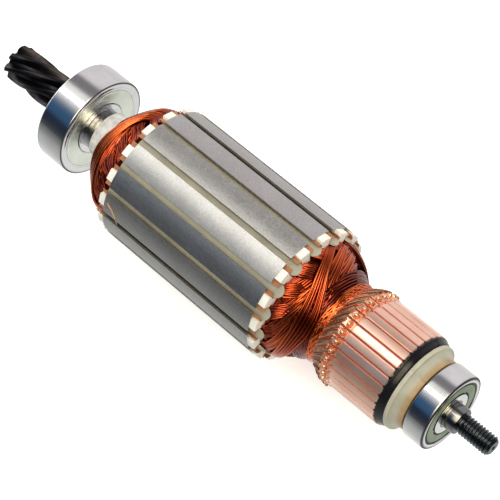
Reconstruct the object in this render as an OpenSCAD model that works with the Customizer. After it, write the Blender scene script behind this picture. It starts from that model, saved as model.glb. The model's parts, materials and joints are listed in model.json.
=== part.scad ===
// Wound armature of a hand-held power tool, with the two ball bearings it spins in.
// The shaft lies along +X, from the helical pinion to the threaded end, and +Z is up.
// The origin is on the shaft's axis, at the middle of the drive-end bearing.

/* [Shaft] */
// Diameter of the shaft under the core, the collar and the commutator
shaft_d = 12; // [10:0.1:12]
// Diameter of the dark stub past the commutator-end bearing
stub_d = 8; // [6.5:0.1:8.8]
// Length of the stub
stub_len = 3.7; // [2:0.1:12]
// Outside diameter of the thread at the end
thread_d = 6; // [4:0.5:6]
// Length of the thread, with its undercut
thread_len = 11; // [6:0.1:25]
// Depth and width of the undercut between the stub and the thread
thread_undercut = 0.4; // [0.2:0.05:0.6]
// Chamfer at the shaft's ends and steps
shaft_chamfer = 0.6; // [0.2:0.1:1]

/* [Pinion] */
// Number of helical teeth cut in the shaft's end
pinion_teeth = 7; // [5:1:12]
// How far the tips of the teeth stay under the shaft's surface, so that the bearing passes over them
pinion_drop = 0.2; // [0.1:0.05:0.6]
// Height of the teeth
tooth_height = 2.1; // [1:0.1:2.6]
// Length of the teeth
pinion_len = 25; // [12:0.5:40]
// Plain shaft between the teeth and the drive-end bearing
pinion_gap = 1.8; // [1:0.1:8]
// Turn of the teeth about the shaft, in degrees for each mm of its length
pinion_lead = -4.8; // [-8:0.1:8]
// Half of a tooth's angle at its tip
pinion_tip_angle = 8; // [4:0.5:9]
// Half of a tooth's angle at its root
pinion_root_angle = 19; // [14:0.5:22]

/* [Core] */
// Outside diameter of the laminated core
core_d = 43.4; // [36:0.1:60]
// Length of the core
core_len = 57.5; // [30:0.5:90]
// Number of slots
slot_count = 16; // [12:1:20]
// Width of a slot's opening between the tooth tips
slot_opening = 1.9; // [1:0.1:2.6]
// Thickness of a tooth tip at its edge
tip_edge = 0.6; // [0.4:0.05:1]
// Depth of the tooth tips where they join the teeth
tip_root = 1.5; // [1:0.05:2]
// Thickness of the narrow waist of a tooth
tooth_w = 2.9; // [2.4:0.1:4]
// Distance from the core's surface to the middle of a slot's round bottom
slot_depth = 9.2; // [6:0.1:9.6]
// Width of a slot at its round bottom
slot_bottom_w = 2.2; // [1.4:0.1:3]
// Distance from the drive-end bearing to the core
drive_end_span = 24.3; // [20:0.1:40]
// Distance from the core to the commutator's risers
comm_end_span = 20.3; // [16:0.1:35]
// Angle of the first tooth and of the first commutator gap about the shaft
rotor_phase = 4.1; // [0:0.1:22.5]

/* [Insulation] */
// Thickness of the moulded sleeve between the shaft and the core
sleeve_t = 1.1; // [0.6:0.1:1.6]
// Thickness of the star-shaped plate at each end of the core
plate_t = 2.2; // [1:0.1:4]
// Width of the plate's legs over the teeth
plate_leg_w = 3.4; // [2.4:0.1:4]
// How far the plate's legs stay under the core's surface
plate_drop = 0.2; // [0:0.05:0.6]
// Thickness of the slot liners
liner_t = 0.25; // [0.15:0.01:0.4]
// Thickness of the sides of a slot wedge
wedge_t = 0.45; // [0.3:0.05:0.9]
// How far the wedges stand out of the core at the commutator end
wedge_out_comm = 3.8; // [2:0.1:6]
// How far the wedges stand out of the core at the drive end
wedge_out_drive = 1; // [0.5:0.1:3]

/* [Winding] */
// Length of the winding's head beyond the plate at the drive end
drive_head_len = 14; // [8:0.1:20]
// Outside diameter of the drive-end head at its rounded end
drive_head_end_d = 25; // [23:0.1:34]
// How far the winding's heads stay under the wedges
head_drop = 0.1; // [0.05:0.05:2]
// Outside diameter of the neck where the leads turn to the commutator
comm_neck_d = 24.6; // [20:0.1:30]
// Radial room between the winding's heads and what they surround
head_room = 0.7; // [0.3:0.1:2]

/* [Collar] */
// Outside diameter of the bright collar by the drive-end bearing
collar_d = 14.8; // [13:0.1:20]
// Length of the collar
collar_len = 13; // [6:0.1:18]

/* [Commutator] */
// Diameter of the track that the brushes ride on
track_d = 29.6; // [25:0.1:36]
// Length of the track
track_len = 16; // [10:0.1:30]
// Number of copper bars
bar_count = 32; // [16:2:40]
// Width of the gap between two bars
bar_gap = 0.5; // [0.3:0.05:0.8]
// Depth of a bar from the track to the inside
bar_depth = 4; // [3:0.1:5]
// How far the insulation between the bars stays under the track
mica_drop = 0.7; // [0.3:0.05:1.2]
// How far the hooks that hold the leads stand out over the track
hook_rise = 1; // [0.5:0.1:2]
// Length of the hooks
hook_len = 3.4; // [2:0.1:6]
// Width of the groove between the hooks and the track
groove_w = 0.8; // [0.4:0.1:1.5]
// Depth of the groove
groove_depth = 0.5; // [0.2:0.05:1]
// Depth of the dovetail foot that holds the bars in the moulding
foot_depth = 1.4; // [0.8:0.1:1.6]
// Length of the dovetail foot at its narrow root
foot_len = 8.8; // [5:0.1:10]
// Diameter of the moulding's end flange
flange_d = 27.6; // [24:0.1:34]
// Length of the moulding's end flange
flange_len = 2.5; // [1:0.1:5]
// Thickness of the metal bush inside the moulding
bush_t = 1.3; // [0.8:0.1:1.6]
// Length of the resin binding over the leads
binding_len = 3.6; // [2:0.1:6]

/* [Insulating ring] */
// Outside diameter of the pale ring by the commutator-end bearing
ring_d = 27.4; // [25:0.1:36]
// Thickness of the ring's flange
ring_band_len = 1.2; // [0.8:0.1:4]
// Length of the slope from the flange down to the neck
ring_slope_len = 1.4; // [0.4:0.1:4]
// Diameter of the ring's neck
ring_neck_d = 22.8; // [18:0.1:24]
// Length of the neck
ring_neck_len = 2.2; // [0.6:0.1:3]
// Room between the neck and the bearing
ring_room = 0.4; // [0.3:0.05:1]

/* [Drive-end bearing] */
// Outside diameter
drive_d = 32; // [26:0.5:40]
// Width
drive_w = 10; // [8:0.5:14]
// Diameter of the balls
drive_ball_d = 5.953; // [4.5:0.001:6.5]
// Number of balls
drive_balls = 7; // [6:1:8]
// Distance from the ball circle to the faces of both rings
drive_land = 1.75; // [1.4:0.05:2]
// Corner chamfer
drive_corner = 0.7; // [0.3:0.05:1]

/* [Commutator-end bearing] */
// Bore
comm_bore_d = 9; // [8.8:0.1:10]
// Outside diameter
comm_d = 24; // [20:0.5:30]
// Width
comm_w = 7; // [6:0.5:10]
// Diameter of the balls
comm_ball_d = 3.969; // [3:0.001:4.4]
// Number of balls
comm_balls = 7; // [6:1:8]
// Distance from the ball circle to the faces of both rings
comm_land = 1.2; // [1:0.05:1.4]
// Corner chamfer
comm_corner = 0.5; // [0.2:0.05:0.8]

/* [Bearing fits] */
// Clearance between the balls and the grooves they run in
ball_gap = 0.05; // [0.02:0.01:0.08]
// Thickness of the cage's sheet
cage_t = 0.45; // [0.3:0.05:0.6]
// Room between the cage and the rings
cage_room = 0.35; // [0.3:0.05:0.5]
// Thickness of a shield or seal
shield_t = 0.4; // [0.3:0.05:0.6]
// How far a shield or seal sits inside the bearing's face
shield_drop = 0.25; // [0.1:0.05:0.5]
// How far a shield or seal grips into the outer ring
shield_grip = 0.5; // [0.2:0.05:0.8]
// Room between a shield or seal and the inner ring
shield_room = 0.35; // [0.3:0.05:0.8]
// Diameter of the cage's rivets
rivet_d = 0.8; // [0.6:0.1:1]

/* [Hidden] */
$fn = 96;

shaft_r = shaft_d / 2;
core_r = core_d / 2;
track_r = track_d / 2;
hook_r = track_r + hook_rise;
pinion_r = shaft_r - pinion_drop;
collar_r = collar_d / 2;
sleeve_r = shaft_r + sleeve_t;

// Places along the shaft
drive_face_x = drive_w / 2;
collar_end_x = drive_face_x + collar_len;
core_x = drive_face_x + drive_end_span;
core_end_x = core_x + core_len;
plate_x = core_x - plate_t;
plate_end_x = core_end_x + plate_t;
head_x = plate_x - drive_head_len;
riser_x = core_end_x + comm_end_span;
groove_x = riser_x + hook_len;
track_x = groove_x + groove_w;
track_end_x = track_x + track_len;
flange_end_x = track_end_x + flange_len;
band_end_x = flange_end_x + ring_band_len;
neck_x = band_end_x + ring_slope_len;
comm_x = neck_x + ring_neck_len + ring_room;
comm_end_x = comm_x + comm_w;
stub_end_x = comm_end_x + stub_len;
tip_x = stub_end_x + thread_len;
teeth_end_x = -drive_face_x - pinion_gap;
teeth_x = teeth_end_x - pinion_len;

// The slot's outline, as distances from the axis and half widths
slot_edge_r = core_r - tip_edge;
slot_shoulder_r = core_r - tip_root;
slot_bottom_r = core_r - slot_depth;
slot_top_half = slot_shoulder_r * tan(180 / slot_count) - tooth_w / 2 / cos(180 / slot_count);
slot_bottom_half = slot_bottom_w / 2;
liner_gap = 0.02;
fill_inset = liner_gap + liner_t + liner_gap;
wedge_in_r = slot_shoulder_r - fill_inset - wedge_t;
wedge_half = slot_top_half - fill_inset;
fill_top_r = wedge_in_r - liner_gap;

// The commutator's parts, as distances from the axis
bar_in_r = track_r - bar_depth;
foot_r = bar_in_r - foot_depth;
bush_r = shaft_r + bush_t;
foot_half = foot_len / 2;
foot_flare = 0.8;
foot_sink = 0.01;
bar_mid_x = (riser_x + track_end_x) / 2;
gap_angle = bar_gap / track_r * 180 / PI;
cage_seam = 0.02;
ring_corner = 0.4;

// Turns a flat outline, drawn as (distance from the axis, place along it), about the shaft
module spin() rotate([0, 90, 0]) rotate_extrude() children();

// Turns a flat outline through part of a circle, from the angle "from" about the shaft
module spin_part(from, sweep) rotate([from, 0, 0]) rotate([0, 90, 0]) rotate([0, 0, 90])
    rotate_extrude(angle = sweep) children();

// Pushes an outline, drawn as seen along the shaft, from x0 to x1
module along(x0, x1) translate([x0, 0, 0]) rotate([90, 0, 90]) linear_extrude(height = x1 - x0) children();

module tube_x(r, bore_r, x0, x1) spin() translate([bore_r, x0]) square([r - bore_r, x1 - x0]);

// A ring with both outer corners chamfered
module chamfered_ring(r, bore_r, x0, x1, corner) spin() polygon([
    [bore_r, x0], [r - corner, x0], [r, x0 + corner], [r, x1 - corner], [r - corner, x1], [bore_r, x1]]);

// ---- Shaft ----

// Outline of the pinion: each flank narrows from the root to the tip
function flank_angle(k) = pinion_root_angle + (pinion_tip_angle - pinion_root_angle) * pow(k, 0.7);
function flank_radius(k) = pinion_r - tooth_height * (1 - k);
flank_steps = [0, 0.15, 0.45, 0.8, 1];
pinion_outline = [for (tooth = [0:pinion_teeth - 1], side = [-1, 1], i = [0:len(flank_steps) - 1])
    let (k = flank_steps[side < 0 ? i : len(flank_steps) - 1 - i],
         a = tooth * 360 / pinion_teeth + side * flank_angle(k))
    flank_radius(k) * [cos(a), sin(a)]];
pinion_phase = 118.6;
pinion_sink = 0.5;

// Teeth, with the corners of their free end taken off
module pinion() difference() {
    translate([teeth_x, 0, 0]) rotate([pinion_phase, 0, 0]) rotate([90, 0, 90])
        linear_extrude(height = pinion_len + pinion_sink, twist = -pinion_lead * (pinion_len + pinion_sink),
            slices = 20) polygon(pinion_outline);
    spin() polygon([[pinion_r - shaft_chamfer, teeth_x - 1], [pinion_r + 1, teeth_x - 1],
        [pinion_r + 1, teeth_x + shaft_chamfer + 1], [pinion_r - shaft_chamfer, teeth_x]]);
}

module shaft() color("#2c2a2b") {
    pinion();
    spin() polygon([
        [0, teeth_end_x],
        [shaft_r, teeth_end_x],
        [shaft_r, comm_x],
        [comm_bore_d / 2, comm_x],
        [comm_bore_d / 2, comm_end_x],
        [stub_d / 2, comm_end_x],
        [stub_d / 2, stub_end_x - shaft_chamfer / 2],
        [stub_d / 2 - shaft_chamfer / 2, stub_end_x],
        [thread_d / 2 - thread_undercut, stub_end_x],
        [thread_d / 2 - thread_undercut, stub_end_x + thread_undercut],
        [thread_d / 2, stub_end_x + 2 * thread_undercut],
        [thread_d / 2, tip_x - shaft_chamfer],
        [thread_d / 2 - shaft_chamfer, tip_x],
        [0, tip_x]]);
}

module shaft_sleeve() color("#1c1c1e") tube_x(sleeve_r, shaft_r, collar_end_x, riser_x);

module drive_collar() color("#b9bcbc") chamfered_ring(collar_r, shaft_r, drive_face_x, collar_end_x, 0.4);

// ---- Core and slot insulation ----

// Repeats what is drawn along +Y once for each slot, between the teeth
module each_slot() for (i = [0:slot_count - 1])
    rotate([0, 0, rotor_phase + (i + 0.5) * 360 / slot_count]) children();

// The slot under the tooth tips, made smaller all round by "inset"
module slot_body(inset) {
    polygon([[slot_edge_r - inset, -slot_opening / 2], [slot_edge_r - inset, slot_opening / 2],
        [slot_shoulder_r - inset, slot_top_half - inset], [slot_bottom_r, slot_bottom_half - inset],
        [slot_bottom_r, inset - slot_bottom_half], [slot_shoulder_r - inset, inset - slot_top_half]]);
    translate([slot_bottom_r, 0]) circle(slot_bottom_half - inset);
}

// The opening between the tooth tips
module slot_mouth() translate([slot_shoulder_r, -slot_opening / 2]) square([tip_root + 1, slot_opening]);

module core_laminations() color("#8f9496") along(core_x, core_end_x) difference() {
    circle(core_r);
    circle(sleeve_r);
    each_slot() {
        slot_body(0);
        slot_mouth();
    }
}

// A plate with a leg over each tooth, which the liners and the winding pass between
module end_plate(x0) color("#ebebe1") along(x0, x0 + plate_t) difference() {
    intersection() {
        circle(core_r - plate_drop);
        union() {
            circle(slot_bottom_r);
            for (i = [0:slot_count - 1]) rotate([0, 0, rotor_phase + i * 360 / slot_count])
                translate([0, -plate_leg_w / 2]) square([core_r, plate_leg_w]);
        }
    }
    circle(sleeve_r);
    each_slot() slot_body(0);
}
module end_plate_drive() end_plate(plate_x);
module end_plate_comm() end_plate(core_end_x);

// Folded sheets that line the slots, open where the tooth tips are
module slot_liners() color("#a86a48") along(plate_x, plate_end_x) each_slot() difference() {
    slot_body(liner_gap);
    slot_body(liner_gap + liner_t);
    slot_mouth();
}

// Strips that close the slots under the tooth tips, round at the commutator end
module slot_wedges() color("#a6a08c") for (i = [0:slot_count - 1])
    rotate([rotor_phase + (i + 0.5) * 360 / slot_count, 0, 0]) intersection() {
        along(core_x - wedge_out_drive, core_end_x + wedge_out_comm) intersection() {
            slot_body(fill_inset);
            translate([wedge_in_r, -core_r / 2]) square([core_r, core_r]);
        }
        rotate([-90, 0, 0]) linear_extrude(core_r) {
            translate([core_x - wedge_out_drive, -wedge_half])
                square([core_len + wedge_out_drive + wedge_out_comm - wedge_half, 2 * wedge_half]);
            translate([core_end_x + wedge_out_comm - wedge_half, 0]) circle(wedge_half);
        }
    }

// ---- Winding ----

head_in_r = max(collar_r, sleeve_r) + head_room;
head_r = fill_top_r - head_drop;
drive_round_r = 2;
comm_span = riser_x - plate_end_x;
// How the commutator-end head falls to its neck: shares of its span, and of the drop there
comm_fall = [[0.15, 0], [0.38, 0.4], [0.62, 0.88], [0.72, 1]];
// Where the drive-end head starts to fall, as a share of its length
drive_fall = 0.25;

module armature_winding() color("#b5481f") {
    along(plate_x - 0.5, plate_end_x + 0.5) each_slot() intersection() {
        slot_body(fill_inset);
        square([2 * fill_top_r, core_r], center = true);
    }
    spin() {
        polygon([
            [head_in_r, plate_x], [head_r, plate_x], [head_r, plate_x - drive_head_len * drive_fall],
            [drive_head_end_d / 2, head_x + drive_round_r],
            [drive_head_end_d / 2 - drive_round_r, head_x], [head_in_r, head_x]]);
        translate([drive_head_end_d / 2 - drive_round_r, head_x + drive_round_r]) circle(drive_round_r);
    }
    spin() polygon([
        [head_in_r, plate_end_x],
        for (place = comm_fall) [head_r + (comm_neck_d / 2 - head_r) * place[1], plate_end_x + comm_span * place[0]],
        [comm_neck_d / 2, riser_x - binding_len], [head_in_r, riser_x - binding_len]]);
}

// Resin and lead wires between the winding's neck and the risers
module lead_binding() color("#7d5a44") spin() polygon([
    [sleeve_r + 0.3, riser_x - binding_len], [comm_neck_d / 2 + 0.3, riser_x - binding_len],
    [track_r - 0.4, riser_x - 0.8], [track_r - 0.2, riser_x], [sleeve_r + 0.3, riser_x]]);

// ---- Commutator ----

// Dovetail foot under the bars
module foot_outline() polygon([
    [bar_in_r + foot_sink, bar_mid_x - foot_half], [foot_r, bar_mid_x - foot_half - foot_flare],
    [foot_r, bar_mid_x + foot_half + foot_flare], [bar_in_r + foot_sink, bar_mid_x + foot_half]]);

module bar_outline() {
    polygon([
        [bar_in_r, riser_x], [hook_r - 0.7, riser_x], [hook_r, riser_x + 0.9],
        [hook_r, riser_x + 2.2], [track_r - groove_depth, groove_x],
        [track_r - groove_depth, track_x], [track_r, track_x + groove_depth / 2],
        [track_r, track_end_x - 0.3], [track_r - 0.3, track_end_x], [bar_in_r, track_end_x]]);
    foot_outline();
}

module commutator_bars() color("#d99a78") for (i = [0:bar_count - 1])
    spin_part(rotor_phase + i * 360 / bar_count + gap_angle / 2, 360 / bar_count - gap_angle) bar_outline();

module bar_insulation() color("#6d3a2a") for (i = [0:bar_count - 1])
    spin_part(rotor_phase + i * 360 / bar_count - gap_angle / 2, gap_angle) {
        translate([bar_in_r, riser_x]) square([track_r - mica_drop - bar_in_r, track_end_x - riser_x]);
        foot_outline();
    }

module commutator_moulding() color("#141416") spin() difference() {
    polygon([
        [bush_r, riser_x], [bar_in_r, riser_x], [bar_in_r, track_end_x], [flange_d / 2, track_end_x],
        [flange_d / 2, flange_end_x - 0.4], [flange_d / 2 - 0.4, flange_end_x], [bush_r, flange_end_x]]);
    foot_outline();
}

module commutator_bush() color("#8a8d90") tube_x(bush_r, shaft_r, riser_x, flange_end_x);

module insulating_ring() color("#dcdcc8") spin() polygon([
    [shaft_r, flange_end_x], [ring_d / 2, flange_end_x], [ring_d / 2, band_end_x - ring_corner],
    [ring_d / 2 - ring_corner, band_end_x], [ring_neck_d / 2 + ring_corner, band_end_x + ring_corner],
    [ring_neck_d / 2, neck_x], [ring_neck_d / 2, neck_x + ring_neck_len], [shaft_r, neck_x + ring_neck_len]]);

// ---- Bearings, each drawn about its own middle ----

// Places what is drawn at the ball circle once for each ball, or between the balls
module around(count, pitch_r, shift) for (i = [0:count - 1])
    rotate([(i + shift) * 360 / count, 0, 0]) translate([0, 0, pitch_r]) children();

function pitch_radius(d, bore) = (d + bore) / 4;

module outer_ring(d, bore, w, ball_d, land, corner) {
    pitch_r = pitch_radius(d, bore);
    difference() {
        chamfered_ring(d / 2, pitch_r + land, -w / 2, w / 2, corner);
        spin() {
            translate([pitch_r, 0]) circle(ball_d / 2 + ball_gap);
            for (side = [-1, 1]) shield_seat(pitch_r + land, w, side);
        }
    }
}

// Recess that takes a shield's outer edge, open to the bearing's face
module shield_seat(land_r, w, side) scale([1, side]) translate([land_r - 0.1, w / 2 - shield_drop - shield_t])
    square([shield_grip + 0.1, shield_drop + shield_t + 0.1]);

module inner_ring(d, bore, w, ball_d, land) {
    pitch_r = pitch_radius(d, bore);
    spin() difference() {
        polygon([[bore / 2, -w / 2], [pitch_r - land - 0.3, -w / 2], [pitch_r - land, 0.3 - w / 2],
            [pitch_r - land, w / 2 - 0.3], [pitch_r - land - 0.3, w / 2], [bore / 2, w / 2]]);
        translate([pitch_r, 0]) circle(ball_d / 2 + ball_gap);
    }
}

module balls(d, bore, ball_d, count) around(count, pitch_radius(d, bore), 0) sphere(d = ball_d);

// Two pressed halves that meet on the ball circle and hold each ball in a round pocket
module cage(d, bore, ball_d, land, count) {
    pitch_r = pitch_radius(d, bore);
    half_w = land - cage_room;
    for (side = [0, 1]) mirror([side, 0, 0]) difference() {
        intersection() {
            union() {
                tube_x(pitch_r + half_w, pitch_r - half_w, cage_seam, cage_t);
                around(count, pitch_r, 0) sphere(ball_d / 2 + ball_gap + cage_t);
            }
            tube_x(pitch_r + half_w, pitch_r - half_w, cage_seam, ball_d);
        }
        around(count, pitch_r, 0) sphere(ball_d / 2 + ball_gap);
        around(count, pitch_r, 0.5) rotate([0, 90, 0]) cylinder(d = rivet_d, h = 4 * cage_t, center = true);
    }
}

module cage_rivets(d, bore, count) around(count, pitch_radius(d, bore), 0.5) rotate([0, 90, 0]) {
    cylinder(d = rivet_d, h = 2 * cage_t, center = true);
    for (side = [-1, 1]) translate([0, 0, side * (cage_t + rivet_d / 8)])
        cylinder(d = rivet_d * 1.5, h = rivet_d / 4, center = true);
}

// A thin disc held in the outer ring that stays clear of the inner ring
module shield(d, bore, w, land, side) {
    pitch_r = pitch_radius(d, bore);
    spin() scale([1, side]) translate([pitch_r - land + shield_room, w / 2 - shield_drop - shield_t])
        square([2 * land + shield_grip - shield_room, shield_t]);
}

module at_comm() translate([comm_x + comm_w / 2, 0, 0]) children();

module drive_outer_ring() color("#c3c4c8")
    outer_ring(drive_d, shaft_d, drive_w, drive_ball_d, drive_land, drive_corner);
module drive_inner_ring() color("#c3c4c8") inner_ring(drive_d, shaft_d, drive_w, drive_ball_d, drive_land);
module drive_bearing_balls() color("#dddddf") balls(drive_d, shaft_d, drive_ball_d, drive_balls);
module drive_cage() color("#9a9a92") cage(drive_d, shaft_d, drive_ball_d, drive_land, drive_balls);
module drive_cage_rivets() color("#9a9a92") cage_rivets(drive_d, shaft_d, drive_balls);
module drive_shield_outer() color("#c9cfc2") shield(drive_d, shaft_d, drive_w, drive_land, -1);
module drive_shield_inner() color("#c9cfc2") shield(drive_d, shaft_d, drive_w, drive_land, 1);

module comm_outer_ring() color("#c3c4c8") at_comm()
    outer_ring(comm_d, comm_bore_d, comm_w, comm_ball_d, comm_land, comm_corner);
module comm_inner_ring() color("#c3c4c8") at_comm()
    inner_ring(comm_d, comm_bore_d, comm_w, comm_ball_d, comm_land);
module comm_bearing_balls() color("#dddddf") at_comm() balls(comm_d, comm_bore_d, comm_ball_d, comm_balls);
module comm_cage() color("#9a9a92") at_comm() cage(comm_d, comm_bore_d, comm_ball_d, comm_land, comm_balls);
module comm_cage_rivets() color("#9a9a92") at_comm() cage_rivets(comm_d, comm_bore_d, comm_balls);
module comm_seal_outer() color("#839678") at_comm() shield(comm_d, comm_bore_d, comm_w, comm_land, 1);
module comm_seal_inner() color("#839678") at_comm() shield(comm_d, comm_bore_d, comm_w, comm_land, -1);

shaft();
shaft_sleeve();
drive_collar();
core_laminations();
end_plate_drive();
end_plate_comm();
slot_liners();
slot_wedges();
armature_winding();
lead_binding();
commutator_bars();
bar_insulation();
commutator_moulding();
commutator_bush();
insulating_ring();
drive_outer_ring();
drive_inner_ring();
drive_bearing_balls();
drive_cage();
drive_cage_rivets();
drive_shield_outer();
drive_shield_inner();
comm_outer_ring();
comm_inner_ring();
comm_bearing_balls();
comm_cage();
comm_cage_rivets();
comm_seal_outer();
comm_seal_inner();
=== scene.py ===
import json
import bmesh
import bpy
import numpy as np
from math import cos, pi, radians, sin
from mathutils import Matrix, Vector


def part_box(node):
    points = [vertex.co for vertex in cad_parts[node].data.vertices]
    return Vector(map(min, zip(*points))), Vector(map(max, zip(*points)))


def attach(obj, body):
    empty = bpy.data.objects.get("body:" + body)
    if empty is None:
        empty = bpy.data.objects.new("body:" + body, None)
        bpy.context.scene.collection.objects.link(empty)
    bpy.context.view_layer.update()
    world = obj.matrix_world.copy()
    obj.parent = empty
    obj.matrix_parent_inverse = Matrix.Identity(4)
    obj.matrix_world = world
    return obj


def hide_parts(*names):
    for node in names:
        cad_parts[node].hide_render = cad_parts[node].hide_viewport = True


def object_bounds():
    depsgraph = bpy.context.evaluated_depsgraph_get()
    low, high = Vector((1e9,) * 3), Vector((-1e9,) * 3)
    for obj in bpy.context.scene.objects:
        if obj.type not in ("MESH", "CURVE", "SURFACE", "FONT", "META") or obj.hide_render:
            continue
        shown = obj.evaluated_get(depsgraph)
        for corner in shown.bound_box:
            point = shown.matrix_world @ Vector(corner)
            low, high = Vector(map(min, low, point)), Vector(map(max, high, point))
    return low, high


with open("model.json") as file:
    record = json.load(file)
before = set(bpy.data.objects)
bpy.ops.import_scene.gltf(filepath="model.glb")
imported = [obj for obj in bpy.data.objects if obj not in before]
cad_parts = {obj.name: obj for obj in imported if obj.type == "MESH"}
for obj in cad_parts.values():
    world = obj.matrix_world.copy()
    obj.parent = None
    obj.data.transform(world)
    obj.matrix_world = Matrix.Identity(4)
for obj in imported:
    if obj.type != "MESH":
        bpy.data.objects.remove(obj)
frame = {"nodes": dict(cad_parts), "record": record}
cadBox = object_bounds()
mm = 0.001
rng = np.random.default_rng(7)


def setInputs(node, **values):
    # Inputs go by name, or by number as in0, in1. Each takes a value, a colour, or another node's output
    for title, value in values.items():
        socket = node.inputs[int(title[2:]) if title[2:].isdigit() else title.replace("_", " ")]
        if isinstance(value, bpy.types.NodeSocket):
            node.id_data.links.new(value, socket)
        else:
            socket.default_value = value + (1,) if socket.type == "RGBA" and len(value) == 3 else value


def addNode(tree, kind, operation=None, **values):
    # A node of this kind, with its inputs set
    node = tree.nodes.new(kind)
    if operation:
        node.operation = operation
    setInputs(node, **values)
    return node


def calc(tree, operation, a, b=0.0):
    # a and b joined by the operation, or the operation on a alone
    return addNode(tree, "ShaderNodeMath", operation, in0=a, in1=b).outputs[0]


def scaled(tree, value, by, plus=0.0):
    # value * by + plus
    return addNode(tree, "ShaderNodeMath", "MULTIPLY_ADD", in0=value, in1=by, in2=plus).outputs[0]


def noise(tree, vector, scale, detail, rough=0.55, bend=0.0):
    # Clouds from 0 to 1, each about 1 / scale across
    node = addNode(tree, "ShaderNodeTexNoise", Vector=vector, Scale=scale, Detail=detail, Roughness=rough,
                   Distortion=bend)
    return node.outputs["Fac"]


def ramp(tree, value, low, high, toLow=0.0, toHigh=1.0):
    # A straight line from toLow at low to toHigh at high, level outside them
    node = addNode(tree, "ShaderNodeMapRange", in0=value, in1=low, in2=high, in3=toLow, in4=toHigh)
    return node.outputs["Result"]


def mixColour(tree, share, a, b):
    # a * (1 - share) + b * share
    node = tree.nodes.new("ShaderNodeMix")
    node.data_type = "RGBA"
    setInputs(node, in0=share, in6=a, in7=b)
    return node.outputs[2]


def colourRamp(tree, value, stops, span, brightest=1.0):
    # Straight between its stops, each a place from -span to span and a colour. The value runs from 0 to 1,
    # and the colours are divided by the brightest so that they fit.
    node = addNode(tree, "ShaderNodeValToRGB", Fac=value)
    elements = node.color_ramp.elements
    while len(elements) > 1:
        elements.remove(elements[0])
    for i, (place, tint) in enumerate(stops):
        share = (place + span) / (2 * span)
        stop = elements[0] if i == 0 else elements.new(share)
        stop.position = share
        stop.color = [c / brightest for c in tint] + [1]
    return node.outputs["Color"]


def newMaterial(name, colour, metallic, rough, **values):
    # Returns the material, its tree and its shader, with the constant values on the shader's own sockets
    material = bpy.data.materials.new(name)
    material.use_nodes = True
    shader = material.node_tree.nodes["Principled BSDF"]
    setInputs(shader, Base_Color=colour, Metallic=metallic, Roughness=rough, **values)
    return material, material.node_tree, shader


view = {
    "azimuth": 44.9,  # degrees, 0 looks along +Y
    "elevation": 54.8,
    "distance": 0.588,
    "lens": 151.2,  # mm
    "sensor": 36,  # mm
    "clip": (0.01, 20),
    "aim": (0.0665, 0.0, 0.0),
}


def makeCamera():
    # It stands at aim + distance * (sin a cos e, -cos a cos e, sin e) and looks back at aim
    a = radians(view["azimuth"])
    e = radians(view["elevation"])
    back = np.array([sin(a) * cos(e), -cos(a) * cos(e), sin(e)])
    data = bpy.data.cameras.new("camera")
    data.lens = view["lens"]
    data.sensor_width = view["sensor"]
    data.clip_start, data.clip_end = view["clip"]
    camera = bpy.data.objects.new("camera", data)
    camera.location = np.array(view["aim"]) + back * view["distance"]
    camera.rotation_euler = (pi / 2 - e, 0, a)
    bpy.context.scene.collection.objects.link(camera)
    bpy.context.scene.camera = camera


studio = {
    "backdrop": (0.93, 0.93, 0.93),  # behind the floor's edge
    "softLight": (1.08, 1.08, 1.06),  # what matt surfaces get from all round
    "farEnd": (0.2, 0.65),  # the sky dims towards the threaded end, between these slopes
    "farEndLeft": 0.14,
    # soft boxes over the threaded end and the toothed end: their reach along the shaft as a slope, about it
    # in degrees, and their light
    "boxes": [
        ([(0.0, 0), (0.15, 1), (0.6, 1), (0.72, 0)],
         [(80, 0), (92, 1), (130, 1), (150, 0)], (3.7, 3.15, 2.0)),
        ([(-1.0, 1), (-0.94, 1), (-0.85, 0)],
         [(-180, 1), (180, 1)], (2.5, 2.4, 2.3)),
    ],
    "brightest": 5.0,
    # angle about the shaft from +Y towards +Z, in degrees, and the light that comes from there
    "sky": [
        (-180, (0.03, 0.035, 0.05)),
        (0, (0.80, 0.76, 0.76)),
        (48, (0.80, 0.75, 0.75)),
        (58, (0.20, 0.195, 0.20)),
        (78, (0.21, 0.21, 0.215)),
        (85, (0.95, 0.93, 0.86)),
        (99.5, (1.0, 0.98, 0.92)),
        (101.5, (5.0, 4.9, 4.7)),
        (106, (5.0, 4.9, 4.7)),
        (108, (0.85, 0.84, 0.82)),
        (117, (0.62, 0.62, 0.62)),
        (127, (0.14, 0.19, 0.25)),
        (136, (0.03, 0.10, 0.21)),
        (152, (0.035, 0.09, 0.19)),
        (162, (0.011, 0.022, 0.045)),
        (180, (0.03, 0.035, 0.05)),
    ],
}


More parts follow.
